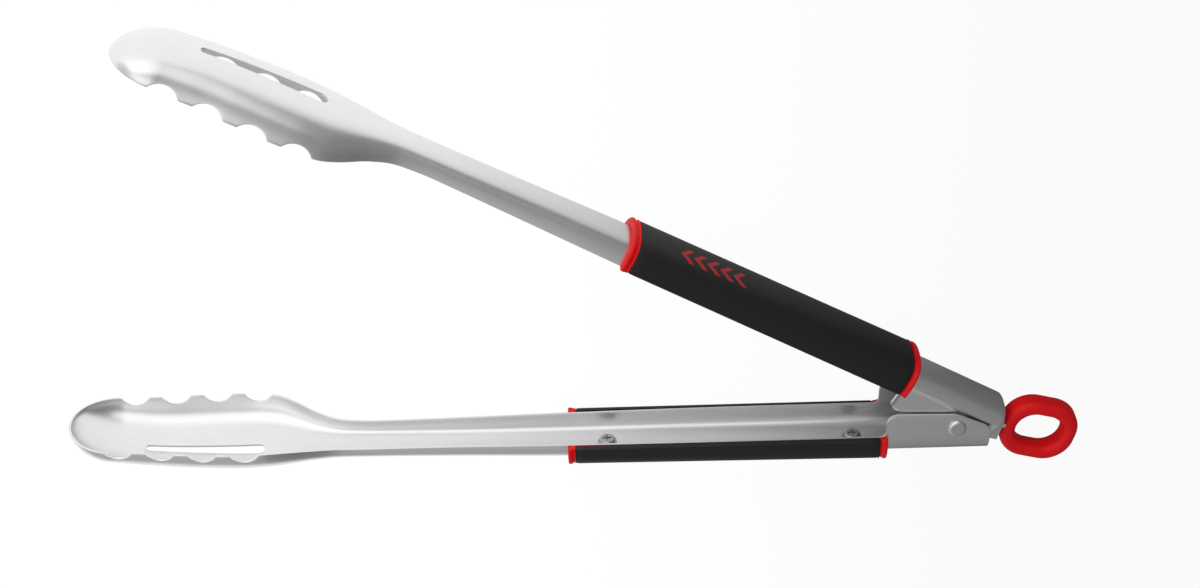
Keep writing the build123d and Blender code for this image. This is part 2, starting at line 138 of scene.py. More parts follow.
# %% [markdown]
# ## The arms' shape
# An arm is one long channel pressed from flat sheet. Its outside is given by a short table along
# its length: half width, height of the rim and height of the back. A smooth curve that never
# overshoots passes through the stations, and a short average along the length then takes out the
# last unevenness, so the satin steel shows no ripples. The head ends in a half circle.

# %% The station table and the curve through it
SHEET = 1.0
ARM_LENGTH = 399.93
TAIL_LENGTHS = {"lower": 15.0, "upper": 17.5}
ARM_STATIONS = (
    (-20.0, 13.2, -3.9, -15.5),
    (30.0, 13.2, -3.8, -15.3),
    (100.0, 13.1, -3.5, -14.6),
    (175.0, 12.4, -3.4, -13.5),
    (230.0, 11.2, -3.2, -11.9),
    (262.0, 10.9, -3.2, -10.9),
    (278.0, 11.5, -2.5, -10.6),
    (290.0, 14.8, -0.3, -10.5),
    (300.0, 19.4, 2.7, -10.5),
    (310.0, 22.8, 4.7, -10.4),
    (322.0, 23.8, 5.3, -10.3),
    (345.0, 22.9, 6.0, -9.4),
    (362.0, 21.5, 6.5, -8.1),
    (379.1, 20.9, 7.2, -5.6),
)
BACK = 3  # the column of the back's height
NOSE_RADIUS, NOSE_SLOPE = 20.9, 0.17  # the back already rises by this slope where the nose begins
NOSE_RIM = (7.2, 9.6)
RIM_CURL = 1.5  # how late the rim rises along the nose
TURN_UP = (1.9, 0.6)  # how late the back turns up along the nose, and how roundly it ends
NOSE_START = ARM_LENGTH - NOSE_RADIUS
CHANNEL_CORNER, HEAD_CORNER = (0.36, 0.84), (0.42, 0.68)
CORNER_CHANGE = (262.0, 312.0)


def steady_slope(i, column):
    """Slope at station i that keeps the curve from overshooting."""
    if i == len(ARM_STATIONS) - 1:
        return NOSE_SLOPE if column == BACK else 0.0
    if i == 0:
        return 0.0
    before, here, after = ARM_STATIONS[i - 1 : i + 2]
    rise_in = (here[column] - before[column]) / (here[0] - before[0])
    rise_out = (after[column] - here[column]) / (after[0] - here[0])
    return 0.0 if rise_in * rise_out <= 0 else 2 * rise_in * rise_out / (rise_in + rise_out)


def through_stations(u, column):
    """One column of the table at u."""
    last = len(ARM_STATIONS) - 2
    i = next((k for k in range(last) if u < ARM_STATIONS[k + 1][0]), last)
    start, end = ARM_STATIONS[i], ARM_STATIONS[i + 1]
    span = end[0] - start[0]
    t = (u - start[0]) / span
    slope_in, slope_out = steady_slope(i, column) * span, steady_slope(i + 1, column) * span
    rise = end[column] - start[column]
    bend = 3 * rise - 2 * slope_in - slope_out
    return start[column] + slope_in * t + bend * t**2 + (slope_in + slope_out - 2 * rise) * t**3


print("half width at the neck:", round(through_stations(270, 1), 2), "mm")

# %% The outside of the arm at any place
EVEN_REACH = 4.0  # the average is taken this far each way, mm
EVEN_STEPS = 4
EVEN_SPREAD = 0.45  # share of the hill that the weights use


def evened(u, column):
    """The table's value averaged over a short length, with weights that fall off like a hill."""
    reach = min(EVEN_REACH, max(NOSE_START - u, 0.0))
    total = weights = 0.0
    for k in range(-EVEN_STEPS, EVEN_STEPS + 1):
        weight = cos(EVEN_SPREAD * pi * k / EVEN_STEPS) ** 2
        total += weight * through_stations(u + reach * k / EVEN_STEPS, column)
        weights += weight
    return total / weights


def arm_size(u):
    """Half width, rim height and back height of the outside of an arm."""
    if u <= NOSE_START:
        return tuple(evened(u, column) for column in (1, 2, 3))
    reach = min((u - NOSE_START) / NOSE_RADIUS, 1.0)
    rim = NOSE_RIM[0] + (NOSE_RIM[1] - NOSE_RIM[0]) * reach**RIM_CURL
    start, steady = ARM_STATIONS[-1][BACK], NOSE_SLOPE * NOSE_RADIUS
    turned_up = (NOSE_RIM[1] - start - steady) * (1 - (1 - reach ** TURN_UP[0]) ** TURN_UP[1])
    return NOSE_RADIUS * sqrt(1 - reach**2), rim, start + steady * reach + turned_up


def ease(low, high, value):
    """0 below low, 1 above high, and smooth between."""
    t = min(max((value - low) / (high - low), 0.0), 1.0)
    return t * t * (3 - 2 * t)


def arm_section(u):
    """Size and corners of the section at u: square in the channel and rounder in the head."""
    share = ease(*CORNER_CHANGE, u)
    corner = [a + (b - a) * share for a, b in zip(CHANNEL_CORNER, HEAD_CORNER)]
    return arm_size(u), corner


def on_section(section, t):
    """Point (w, v) of a half section: t is 0 at the rim and 1 on the centre line."""
    (half, rim, back), corner = section
    side, floor = back + corner[0] * (rim - back), corner[1] * half
    a, b, c, d = (1 - t) ** 3, 3 * t * (1 - t) ** 2, 3 * t * t * (1 - t), t**3
    return a * half + b * half + c * floor, a * rim + b * side + (c + d) * back


W, V = 0, 1  # the two coordinates of a point on a section
HALVINGS = 30


def share_where(section, axis, value):
    """t on the half section where its w or its v has this value."""
    low, high = 0.0, 1.0
    for _ in range(HALVINGS):
        middle = (low + high) / 2
        low, high = (middle, high) if on_section(section, middle)[axis] > value else (low, middle)
    return low


print("tip rim height:", arm_size(ARM_LENGTH)[1], "mm")

# %% [markdown]
# ## What the press cuts away
# The rim of a head has four round notches with flat teeth between them, its floor a long slot
# that narrows towards the tip, and at the hinge an ear stands up out of each wall. All of these
# are outlines seen from the side or from above, so each is a height or a width as a function of
# u, and the places where they turn sharply get their own column of vertices.

# %% Notches, slot and ears
TOOTH_PITCH, NOTCH_COUNT, FIRST_NOTCH = 18.8, 4, 318.1
NOTCH_RADIUS, NOTCH_DEPTH = 7.4, 4.0
SLOT_START, SLOT_END, SLOT_RADII = 317.0, 366.0, (3.4, 2.0)
EAR_STEP = 0.35  # an ear's front edge leans by this much over its height
LOWER_EAR = ((-15.0, -6.0), (-15.0, 0.2), (0.5, 7.5), (31.5, 8.5), (31.5 + EAR_STEP, -3.8), (38.0, -3.8))
LOWER_EAR_RADII = (5.0, 15.0, 4.8, 2.4)
UPPER_EAR = ((-15.8, -8.6), (-15.8, -1.6), (0.5, 5.2), (33.2, 5.9), (33.2 + EAR_STEP, -3.8))
UPPER_EAR_RADII = (5.0, 12.0, 4.6)
ARC_STEPS = 6
notch_places = [FIRST_NOTCH + k * TOOTH_PITCH for k in range(NOTCH_COUNT)]


def rounded(corners, radii):
    """An open outline with each inner corner replaced by an arc of its radius."""
    points = [Vector(corners[0])]
    for before, here, after, radius in zip(corners, corners[1:], corners[2:], radii):
        here = Vector(here)
        back, on = (Vector(before) - here).normalized(), (Vector(after) - here).normalized()
        half = back.angle(on) / 2
        centre = here + (back + on).normalized() * radius / sin(half)
        first = here + back * radius / tan(half) - centre
        last = here + on * radius / tan(half) - centre
        for k in range(ARC_STEPS + 1):
            spoke = first.lerp(last, k / ARC_STEPS).normalized() * radius
            points.append(centre + spoke)
    return points + [Vector(corners[-1])]


def height_on(outline, u):
    """Height of an outline at u, or None beyond its ends."""
    for start, end in zip(outline, outline[1:]):
        if start.x <= u <= end.x and end.x > start.x:
            return start.y + (end.y - start.y) * (u - start.x) / (end.x - start.x)
    return None


def slot_half(u):
    """Half width of the slot at u, 0 outside it."""
    if u <= SLOT_START:
        return sqrt(max(SLOT_RADII[0] ** 2 - (u - SLOT_START) ** 2, 0.0))
    if u >= SLOT_END:
        return sqrt(max(SLOT_RADII[1] ** 2 - (u - SLOT_END) ** 2, 0.0))
    return SLOT_RADII[0] + (SLOT_RADII[1] - SLOT_RADII[0]) * (u - SLOT_START) / (SLOT_END - SLOT_START)


def wall_top(u, ear):
    """Height of the cut rim at u."""
    rim = arm_size(u)[1]
    ear_height = height_on(ear, u) if ear else None
    if ear_height is not None:
        return max(rim, ear_height)
    for place in notch_places:
        if abs(u - place) < NOTCH_RADIUS:
            centre = arm_size(place)[1] + NOTCH_RADIUS - NOTCH_DEPTH
            rim = min(rim, centre - sqrt(NOTCH_RADIUS**2 - (u - place) ** 2))
    return rim


print("notches at", [round(place, 1) for place in notch_places])

# %% Columns of vertices along the arm
NOTCH_HALF_ANGLE = acos((NOTCH_RADIUS - NOTCH_DEPTH) / NOTCH_RADIUS)
NOTCH_COLUMNS, NOSE_COLUMNS, END_COLUMNS = 12, 18, 6
PLAIN_COLUMNS = [40.0 + 8.0 * k for k in range(27)]
NECK_COLUMNS = [250.0 + 2.5 * k for k in range(25)]
EAR_COLUMNS = [-10.0, -5.0, 5.0, 10.0, 15.0, 20.0, 24.0, 31.2, 32.2, 33.0, 34.0, 35.0, 36.5]
HEAD_COLUMNS = [308.5, 376.0, 377.6]
COLUMN_SPACING = 0.12  # a column nearer than this to the last one is left out


def arm_columns(ear, tail):
    """All places along the arm that need a column, in order."""
    columns = [-tail] + [point.x for point in ear]
    columns += PLAIN_COLUMNS + NECK_COLUMNS + EAR_COLUMNS + HEAD_COLUMNS
    for place in notch_places:
        for k in range(NOTCH_COLUMNS + 1):
            angle = NOTCH_HALF_ANGLE * (2 * k / NOTCH_COLUMNS - 1)
            columns.append(place + NOTCH_RADIUS * sin(angle))
    for k in range(END_COLUMNS + 1):
        quarter = radians(90 * k / END_COLUMNS)
        columns.append(SLOT_START - SLOT_RADII[0] * cos(quarter))
        columns.append(SLOT_END + SLOT_RADII[1] * sin(quarter))
    for k in range(NOSE_COLUMNS + 1):
        columns.append(NOSE_START + NOSE_RADIUS * sin(radians(90 * k / NOSE_COLUMNS)))
    kept = []
    for u in sorted(columns):
        if not kept or u - kept[-1] > COLUMN_SPACING:
            kept.append(u)
    kept[-1] = ARM_LENGTH
    return kept


print("columns of a plain arm:", len(arm_columns([], TAIL_LENGTHS["lower"])))

# %% [markdown]
# ## Pressing an arm
# A flat grid is the blank. Each of its columns becomes one section of the channel: the rows of a
# half section run from the cut rim over the rounded corner to the centre line, one row follows
# the slot's edge, and some extra rows stand up in the ears. The upper arm's ears are joggled
# inwards to nest between the lower arm's, which is a short S bend in the same rows. Solidify then
# gives the blank its thickness towards the inside, and a fine bevel takes the sharpness off.

# %% Rows of a half section
EAR_ROWS = 6
WALL_SHARES = [0.0, 0.05, 0.1, 0.15, 0.2, 0.26, 0.32, 0.38, 0.44, 0.5, 0.56, 0.62, 0.68, 0.74, 0.8, 0.86]
FIXED_SHARE = 0.6  # rows below this share follow the notches, and the others stay
PLAIN_SHARE = 0.93  # the slot's row lies here where there is no slot
JOGGLE, JOGGLE_REACH = -8.0, 0.9
JOGGLE_FRONT = (31.6, 34.2)
NESTED_FACE = 11.4


def half_section(u, ear, joggled):
    """Points (w, v) from the cut rim down to the centre line."""
    section = arm_section(u)
    rim = section[0][1]
    top = wall_top(u, ear)
    start = share_where(section, V, top) if top < rim else 0.0
    side, edge = on_section(section, start)
    ear_rise = max(top - rim, 0.0)
    points = [(side, edge + ear_rise * (1 - k / EAR_ROWS)) for k in range(EAR_ROWS)]
    shares = [
        start + share * (FIXED_SHARE - start) / FIXED_SHARE if share < FIXED_SHARE else share
        for share in WALL_SHARES
    ]
    shares.append(share_where(section, W, slot_half(u)) if slot_half(u) else PLAIN_SHARE)
    shares.append(1.0)
    points += [on_section(section, share) for share in shares]
    if joggled:
        points = [joggle(u, w, v) for w, v in points]
    return points


def joggle(u, w, v):
    """Moves a point of the upper arm's wall inwards where it becomes an ear."""
    amount = ease(JOGGLE - JOGGLE_REACH, JOGGLE + JOGGLE_REACH, v)
    amount *= 1 - ease(*JOGGLE_FRONT, u)
    return w + (min(NESTED_FACE, w) - w) * amount, v


print("rows of a half section:", len(half_section(100.0, [], False)))

# %% Pressing, thickening and edging
EDGE_ROUND, EDGE_ANGLE = 0.16, 50
SMOOTH_ANGLE = 40
MERGE_WITHIN = 0.002
FLOOR_PROBE = 150.0  # a place along the arm where the middle is plain floor or back


def press_arm(body, ear_corners, ear_radii, joggled, place):
    """One arm, finished and in its place."""
    ear = rounded(ear_corners, ear_radii)[1:]
    columns = arm_columns(ear, TAIL_LENGTHS[body])
    sections = [half_section(u, ear, joggled) for u in columns]
    rows = 2 * len(sections[0]) - 1
    slot_row = len(sections[0]) - 2
    fresh()
    bpy.ops.mesh.primitive_grid_add(
        x_subdivisions=len(columns) - 1, y_subdivisions=rows - 1, size=ARM_LENGTH
    )
    blank = named(f"{body}_pressed_arm")
    for row in range(rows):
        side = 1 if row < rows // 2 else -1
        k = min(row, rows - 1 - row)
        for column, u in enumerate(columns):
            w, v = sections[column][k]
            blank.data.vertices[row * len(columns) + column].co = (u, v, side * w)
    open_slot(blank, columns, slot_row, rows)
    edit(
        blank,
        (bpy.ops.mesh.remove_doubles, {"threshold": MERGE_WITHIN}),
        (bpy.ops.mesh.normals_make_consistent, {"inside": False}),
    )
    face_back(blank)
    modify(blank, "SOLIDIFY", thickness=SHEET, offset=-1, use_even_offset=True)
    modify(
        blank,
        "BEVEL",
        width=EDGE_ROUND,
        segments=2,
        limit_method="ANGLE",
        angle_limit=radians(EDGE_ANGLE),
        use_clamp_overlap=False,
    )
    smooth(blank, SMOOTH_ANGLE)
    settle(blank, place)
    print(blank.name, "faces:", len(blank.data.polygons))
    return blank


def open_slot(blank, columns, slot_row, rows):
    """Deletes the faces of the two rows between the slot's edges."""
    mesh = bmesh.new()
    mesh.from_mesh(blank.data)
    mesh.verts.ensure_lookup_table()
    wide = len(columns)
    inside = range(slot_row, rows - 1 - slot_row)
    gone = []
    for face in mesh.faces:
        row = min(vertex.index // wide for vertex in face.verts)
        column = min(vertex.index % wide for vertex in face.verts)
        middle = (columns[column] + columns[column + 1]) / 2
        if row in inside and slot_half(middle):
            gone.append(face)
    bmesh.ops.delete(mesh, geom=gone, context="FACES")
    mesh.to_mesh(blank.data)
    mesh.free()


def face_back(blank):
    """Makes the blank's normals point away from the channel's inside."""
    floor = min(blank.data.polygons, key=lambda face: abs(face.center.z) + abs(face.center.x - FLOOR_PROBE))
    if floor.normal.y > 0:
        blank.data.flip_normals()


lower_arm = press_arm("lower", LOWER_EAR, LOWER_EAR_RADII, False, LOWER)
upper_arm = press_arm("upper", UPPER_EAR, UPPER_EAR_RADII, True, UPPER)

# %% The arms ride on their bodies
for arm, body in ((lower_arm, "lower"), (upper_arm, "upper")):
    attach(arm, body)
    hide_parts(f"{body}_arm")
print("arms ride on lower and upper")

# %% [markdown]
# ## The grips' soft covers
# Each grip is a hard red core with a soft black cover stretched over it between two rims. The
# cover wraps the back and both sides and hooks over the top edges. It is one more sheet: a grid
# whose rows run from the hook round the section, tucked in slightly where it meets the rims, and
# thickened inwards. A cloth simulation would add nothing, because the rubber is moulded tight.

# %% The cover's section
GRIP_START, GRIP_END = 30.8, 174.8
GRIP_REAR, GRIP_FRONT = (15.7, -4.1, -19.8), (16.0, -3.4, -16.7)
GRIP_CORNER = (0.3, 0.85)
COVER_MARGIN, COVER_THICKNESS, COVER_SETBACK = 3.45, 1.15, 0.25
HOOK_INNER, HOOK_ROUND, HOOK_STEPS = 13.6, 0.55, 4
TUCK, TUCK_LENGTH = 0.3, 1.2
TUCK_COLUMNS = (0.0, 0.15, 0.4, 0.75, TUCK_LENGTH)
COVER_ROWS, COVER_COLUMNS = 22, 48


def cover_half_section(u, tuck):
    """Points (w, v) from the hook's inner edge over the side to the centre line of the back."""
    share = (u - GRIP_START) / (GRIP_END - GRIP_START)
    half, rim, back = (a + (b - a) * share for a, b in zip(GRIP_REAR, GRIP_FRONT))
    inset = COVER_SETBACK + tuck
    section = ((half - inset, rim - tuck, back + inset), GRIP_CORNER)
    points = [(HOOK_INNER, rim - tuck)]
    for k in range(HOOK_STEPS + 1):
        angle = radians(90 - 90 * k / HOOK_STEPS)
        reach = half - inset - HOOK_ROUND * (1 - cos(angle))
        points.append((reach, rim - tuck - HOOK_ROUND * (1 - sin(angle))))
    first = share_where(section, V, rim - tuck - HOOK_ROUND)
    for k in range(1, COVER_ROWS + 1):
        points.append(on_section(section, first + (1 - first) * k / COVER_ROWS))
    return points


print("rows of a half cover:", len(cover_half_section(100.0, 0.0)))


# %% Wrapping the covers
def wrap_cover(body, place):
    start, end = GRIP_START + COVER_MARGIN, GRIP_END - COVER_MARGIN
    columns = [start + d for d in TUCK_COLUMNS] + [end - d for d in reversed(TUCK_COLUMNS)]
    inner = COVER_COLUMNS - len(columns)
    step = (end - start - 2 * TUCK_LENGTH) / (inner + 1)
    columns += [start + TUCK_LENGTH + step * (k + 1) for k in range(inner)]
    columns.sort()
    sections = []
    for u in columns:
        edge = min(u - start, end - u)
        sections.append(cover_half_section(u, TUCK * (1 - ease(0.0, TUCK_LENGTH, edge))))
    rows = 2 * len(sections[0]) - 1
    fresh()
    bpy.ops.mesh.primitive_grid_add(
        x_subdivisions=len(columns) - 1, y_subdivisions=rows - 1, size=GRIP_END
    )
    cover = named(f"{body}_soft_cover")
    for row in range(rows):
        side = 1 if row < rows // 2 else -1
        for column, u in enumerate(columns):
            w, v = sections[column][min(row, rows - 1 - row)]
            cover.data.vertices[row * len(columns) + column].co = (u, v, side * w)
    edit(cover, (bpy.ops.mesh.normals_make_consistent, {"inside": False}))
    face_back(cover)
    modify(cover, "SOLIDIFY", thickness=COVER_THICKNESS, offset=-1, use_even_offset=True)
    smooth(cover, SMOOTH_ANGLE)
    settle(cover, place)
    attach(cover, body)
    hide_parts(f"{body}_grip_cover")
    print(cover.name, "faces:", len(cover.data.polygons))
    return cover


covers = [wrap_cover("lower", LOWER), wrap_cover("upper", UPPER)]

# %% [markdown]
# ## The spring
# The torsion spring is one wire: a coil round the bush and a leg along the floor of each arm. As
# the arms close, each leg turns with its own arm and the coil only twists, so the wire is made as
# three pieces that overlap along the coil's end turns. A wire is best drawn as a curve with round
# thickness: the coil's turns are worked out by a loop, and the curve is then made a mesh.

# %% The wire's route
COIL_RADIUS, WIRE_RADIUS, COIL_PITCH, COIL_TURNS = 5.4, 0.8, 1.9, 4
SPRING_FOOT = (24.0, -13.1)
LAP, LAP_STEPS = radians(24), 8
COIL_STEP, WIRE_ROUNDNESS = radians(9), 5
foot_distance = hypot(*SPRING_FOOT)
touch = atan2(SPRING_FOOT[1], SPRING_FOOT[0]) - acos(COIL_RADIUS / foot_distance)
coil_sweep = 2 * pi * COIL_TURNS + 2 * touch + 2 * pi - OPEN
coil_height = COIL_PITCH * coil_sweep / (2 * pi)


def wire(name, points, body):
    """A round wire through points in the world, in metres, made a mesh."""
    curve = bpy.data.curves.new(name, "CURVE")
    curve.dimensions, curve.bevel_depth, curve.bevel_resolution = "3D", WIRE_RADIUS * MM, WIRE_ROUNDNESS
    curve.use_fill_caps = True
    spline = curve.splines.new("POLY")
    spline.points.add(len(points) - 1)
    for point, place in zip(spline.points, points):
        point.co = (*place, 1)
    piece = bpy.data.objects.new(name, curve)
    bpy.context.scene.collection.objects.link(piece)
    fresh()
    bpy.context.view_layer.objects.active = piece
    piece.select_set(True)
    bpy.ops.object.convert(target="MESH")
    smooth(bpy.context.object)
    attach(piece, body)
    return piece


def leg_route(place, height, way):
    """Along the end of the coil and then straight to the foot, in an arm's frame."""
    arc = [touch + way * LAP * (1 - k / LAP_STEPS) for k in range(LAP_STEPS + 1)]
    route = [(COIL_RADIUS * cos(a), COIL_RADIUS * sin(a), height) for a in arc]
    return [place @ Vector(point) for point in route + [(*SPRING_FOOT, height)]]


lower_start = LOWER @ Vector((COIL_RADIUS * cos(touch), COIL_RADIUS * sin(touch), 0))
first_angle = atan2(lower_start.y - HINGE.y, lower_start.x - HINGE.x)
coil_route = []
coil_steps = int(coil_sweep / COIL_STEP)
for k in range(coil_steps + 1):
    angle = coil_sweep * k / coil_steps
    height = coil_height * (angle / coil_sweep - 0.5)
    spoke = Vector((cos(first_angle + angle), sin(first_angle + angle), 0)) * COIL_RADIUS
    coil_route.append(HINGE + (spoke + Vector((0, 0, height))) * MM)
spring_pieces = [
    wire("spring_coil", coil_route, "bush"),
    wire("spring_lower_leg", leg_route(LOWER, coil_height / 2, -1), "lower"),
    wire("spring_upper_leg", leg_route(UPPER, coil_height / 2, -1), "upper"),
]
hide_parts("torsion_spring")
print("coil turns:", round(coil_sweep / (2 * pi), 2))

# %% [markdown]
# ## Finishes: a small way to write node maths
# A material is a graph of nodes, but most of it is arithmetic. One class wraps an output socket
# and overloads the operators, so `1 - mask` adds a Math node by itself. Every other node comes
# from one method that takes the node's type, its settings and its inputs.


# %% Writing a finish as Python
class Wire:
    """An output socket that can stand in a sum or a product."""

    def __init__(self, finish, socket):
        self.finish, self.socket = finish, socket

    def maths(self, operation, *values):
        inputs = dict(enumerate(values))
        return self.finish.node("ShaderNodeMath", {"operation": operation}, inputs)

    def __add__(self, other):
        return self.maths("ADD", self, other)

    def __sub__(self, other):
        return self.maths("SUBTRACT", self, other)

    def __rsub__(self, other):
        return self.maths("SUBTRACT", other, self)

    def __mul__(self, other):
        return self.maths("MULTIPLY", self, other)

    __radd__, __rmul__ = __add__, __mul__


class Finish:
    """A material or a world whose nodes are all made by one method."""

    def __init__(self, owner, last="ShaderNodeOutputMaterial"):
        owner.use_nodes = True
        self.owner, self.tree, self.last = owner, owner.node_tree, last
        self.tree.nodes.clear()

    def node(self, kind, settings=None, inputs=None, output=0):
        made = self.tree.nodes.new(kind)
        for key, value in (settings or {}).items():
            if key == "stops":
                self.set_stops(made.color_ramp, value)
            else:
                setattr(made, key, value)
        for key, value in (inputs or {}).items():
            if isinstance(value, Wire):
                self.tree.links.new(value.socket, made.inputs[key])
            else:
                made.inputs[key].default_value = value
        return Wire(self, made.outputs[output]) if made.outputs else None

    def set_stops(self, ramp, stops):
        while len(ramp.elements) < len(stops):
            ramp.elements.new(0.5)
        for element, (position, colour) in zip(ramp.elements, stops):
            element.position, element.color = position, colour

    def close(self, shader):
        self.node(self.last, None, {"Surface": shader})
        return self.owner


print("finishes are written with Wire and Finish")


# %% Patterns that the finishes share
def grain(finish, scale, stretch=(1, 1, 1), turn=0.0, detail=4.0, roughness=0.5):
    """Noise from 0 to 1 on the piece's own coordinates, stretched along a turned direction."""
    place = finish.node("ShaderNodeTexCoord", output="Object")
    mapped = finish.node(
        "ShaderNodeMapping",
        {"vector_type": "TEXTURE"},
        {"Vector": place, "Rotation": (0, 0, turn), "Scale": stretch},
    )
    return finish.node(
        "ShaderNodeTexNoise",
        {"noise_dimensions": "3D"},
        {"Vector": mapped, "Scale": scale, "Detail": detail, "Roughness": roughness},
    )


def blend_colours(finish, share, first, second):
    """Mixes two colours by a wire."""
    return finish.node(
        "ShaderNodeMix",
        {"data_type": "RGBA"},
        {0: share, 6: (*first, 1), 7: (*second, 1)},
        output=2,
    )


def bump(finish, height, strength, distance):
    """A bump from a height wire, in metres."""
    return finish.node(
        "ShaderNodeBump", None, {"Height": height, "Strength": strength, "Distance": distance}
    )


def principled(finish, **inputs):
    """The one shader that all finishes end in."""
    return finish.node("ShaderNodeBsdfPrincipled", None, inputs)


print("patterns: grain, blend_colours, bump")

# %% [markdown]
# ## Satin steel
# The arms are brushed along their length and then tumbled, which leaves a soft satin with faint
# streaks and a fine speckle. The streaks are noise stretched along the arm, so the pattern is turned to
# each arm's direction. They move the roughness and a tiny bump, and a broad slow noise keeps the
# colour from being perfectly even.


# %% Steel of the arms and fittings
def satin_steel(name, turn, colour=(0.89, 0.89, 0.895), dull=0.25, streak=0.06):
    finish = Finish(bpy.data.materials.new(name))
    streaks = grain(finish, 900.0, (24.0, 1.0, 1.0), turn, detail=3.0)
    clouds = grain(finish, 22.0, detail=3.0)
    speckle = grain(finish, 1500.0, detail=3.0)
    darker = tuple(0.8 * value for value in colour)
    tint = blend_colours(finish, streaks * 0.4 + speckle * 0.4 + clouds * 0.2, darker, colour)
    return finish.close(
        principled(
            finish,
            **{
                "Base Color": tint,
                "Metallic": 1.0,
                "Roughness": dull + streak * streaks + 0.05 * speckle + 0.04 * clouds,
                "Normal": bump(finish, streaks * 0.5 + speckle * 0.5, 0.22, 0.00005),
            },
        )
    )


lower_steel = satin_steel("satin_steel_lower_arm", 0.0)
upper_steel = satin_steel("satin_steel_upper_arm", -OPEN)
fitting_steel = satin_steel("satin_steel_fittings", OPEN / 2, (0.82, 0.82, 0.825), 0.24)
screw_steel = satin_steel("zinc_plated_screws", 0.7, (0.5, 0.5, 0.51), 0.2)
wire_steel = satin_steel("drawn_spring_wire", 0.2, (0.5, 0.5, 0.51), 0.28)
print("five steels")

# %% [markdown]
# ## Soft black, hard red and nylon
# The covers are a soft-touch rubber: nearly black, dull, with a very fine grain that catches a
# broad sheen. The rims and the ring are one hard red plastic with a satin skin, slightly uneven
# as moulded plastic is. The washers are natural nylon.


# %% Rubber and plastics
PRINT_START, PRINT_PITCH, PRINT_COUNT = 124.0, 6.4, 5
PRINT_SIDE, PRINT_HALF, PRINT_SLANT, PRINT_SHARE = 3.5, 4.6, 0.9, 0.42


def soft_rubber(name, print_mask=None):
    finish = Finish(bpy.data.materials.new(name))
    fine = grain(finish, 2600.0, detail=2.0)
    clouds = grain(finish, 30.0, detail=3.0)
    tint = blend_colours(finish, clouds, (0.0075, 0.0072, 0.0078), (0.011, 0.0105, 0.0115))
    if print_mask:
        tint = finish.node(
            "ShaderNodeMix",
            {"data_type": "RGBA"},
            {0: print_mask(finish), 6: tint, 7: (0.5, 0.012, 0.012, 1)},
            output=2,
        )
    return finish.close(
        principled(
            finish,
            **{
                "Base Color": tint,
                "Roughness": 0.46 + 0.1 * fine + 0.06 * clouds,
                "Specular IOR Level": 0.42,
                "Normal": bump(finish, fine, 0.25, 0.00005),
            },
        )
    )


def chevrons(finish):
    """1 on a row of red chevrons printed on the back of the upper grip, and 0 round them."""
    place = finish.node("ShaderNodeTexCoord", output="Object")
    along = finish.node(
        "ShaderNodeVectorMath",
        {"operation": "DOT_PRODUCT"},
        {0: place, 1: (-cos(OPEN), sin(OPEN), 0)},
        output="Value",
    )
    height = finish.node("ShaderNodeSeparateXYZ", None, {0: place}, output="Z")
    start = HINGE.y * sin(OPEN) - HINGE.x * cos(OPEN)
    u = (along - start) * (1 / MM) - PRINT_START
    w = (height - HINGE.z) * (1 / MM) - PRINT_SIDE
    off_centre = w.maths("ABSOLUTE", w)
    slanted = u + PRINT_SLANT * off_centre
    stripe = u.maths("FRACT", slanted * (1 / PRINT_PITCH))
    inked = u.maths("LESS_THAN", stripe, PRINT_SHARE)
    within = u.maths("GREATER_THAN", slanted, 0.0) * u.maths(
        "LESS_THAN", slanted, PRINT_COUNT * PRINT_PITCH
    )
    return inked * within * u.maths("LESS_THAN", off_centre, PRINT_HALF)


def moulded_plastic(name, colour, deeper, dull):
    finish = Finish(bpy.data.materials.new(name))
    skin = grain(finish, 1400.0, detail=3.0)
    clouds = grain(finish, 40.0, detail=2.0)
    tint = blend_colours(finish, clouds, deeper, colour)
    return finish.close(
        principled(
            finish,
            **{
                "Base Color": tint,
                "Roughness": dull + 0.08 * skin + 0.05 * clouds,
                "Specular IOR Level": 0.22,
                "Normal": bump(finish, skin, 0.12, 0.00003),
            },
        )
    )


black_rubber = soft_rubber("soft_touch_black")
printed_rubber = soft_rubber("soft_touch_black_printed", chevrons)
red_plastic = moulded_plastic("satin_red_plastic", (0.9, 0.006, 0.01), (0.82, 0.005, 0.009), 0.42)
nylon = moulded_plastic("natural_nylon", (0.8, 0.8, 0.76), (0.74, 0.74, 0.7), 0.45)
print("rubber, red plastic and nylon")

# %% Finishes on every part
finish_of = {
    "arm_steel": lower_steel,
    "fitting_steel": fitting_steel,
    "spring_wire": wire_steel,
    "screw_steel": screw_steel,
    "washer_nylon": nylon,
    "red_plastic": red_plastic,
    "black_rubber": black_rubber,
}
for subpart in frame["record"]["subparts"]:
    part = nodes[subpart["node"]]
    part.data.materials.clear()
    part.data.materials.append(finish_of[subpart["material_slot"]])
lower_arm.data.materials.append(lower_steel)
upper_arm.data.materials.append(upper_steel)
covers[0].data.materials.append(black_rubber)
covers[1].data.materials.append(printed_rubber)
for piece in spring_pieces:
    piece.data.materials.append(wire_steel)
print("finishes given to", len(nodes), "parts")

# %% [markdown]
# ## Floor, light and camera
# The tongs lie on a pale table. To the camera it is nearly plain white, so the shadows stay
# faint. What the steel mirrors is a painted tone with a painted glow, bright on the left and
# fading to the right, which paints light and dark reflections onto the steel.
# A key light hangs high on the left and a wide panel stands on the near side. The world is dim
# on the far side and to the right, which draws the light and dark bands on the satin steel.


# %% Floor
FLOOR_HALF, FLOOR_DROP = 6.0, 0.0002
# From here to here along X, the table's painted reflection tone and painted glow fade.
REFLECTION_PAINT_FADE = (-0.06, 0.19)  # from here to here the table's tone and glow fade
SEEN_SHARE, SEEN_GLOW = 0.93, 1.02  # how much plain white the camera sees, and how bright


def greys(*stops):
    """Ramp stops from pairs of a place and a grey."""
    return [(place, (grey, grey, grey, 1)) for place, grey in stops]


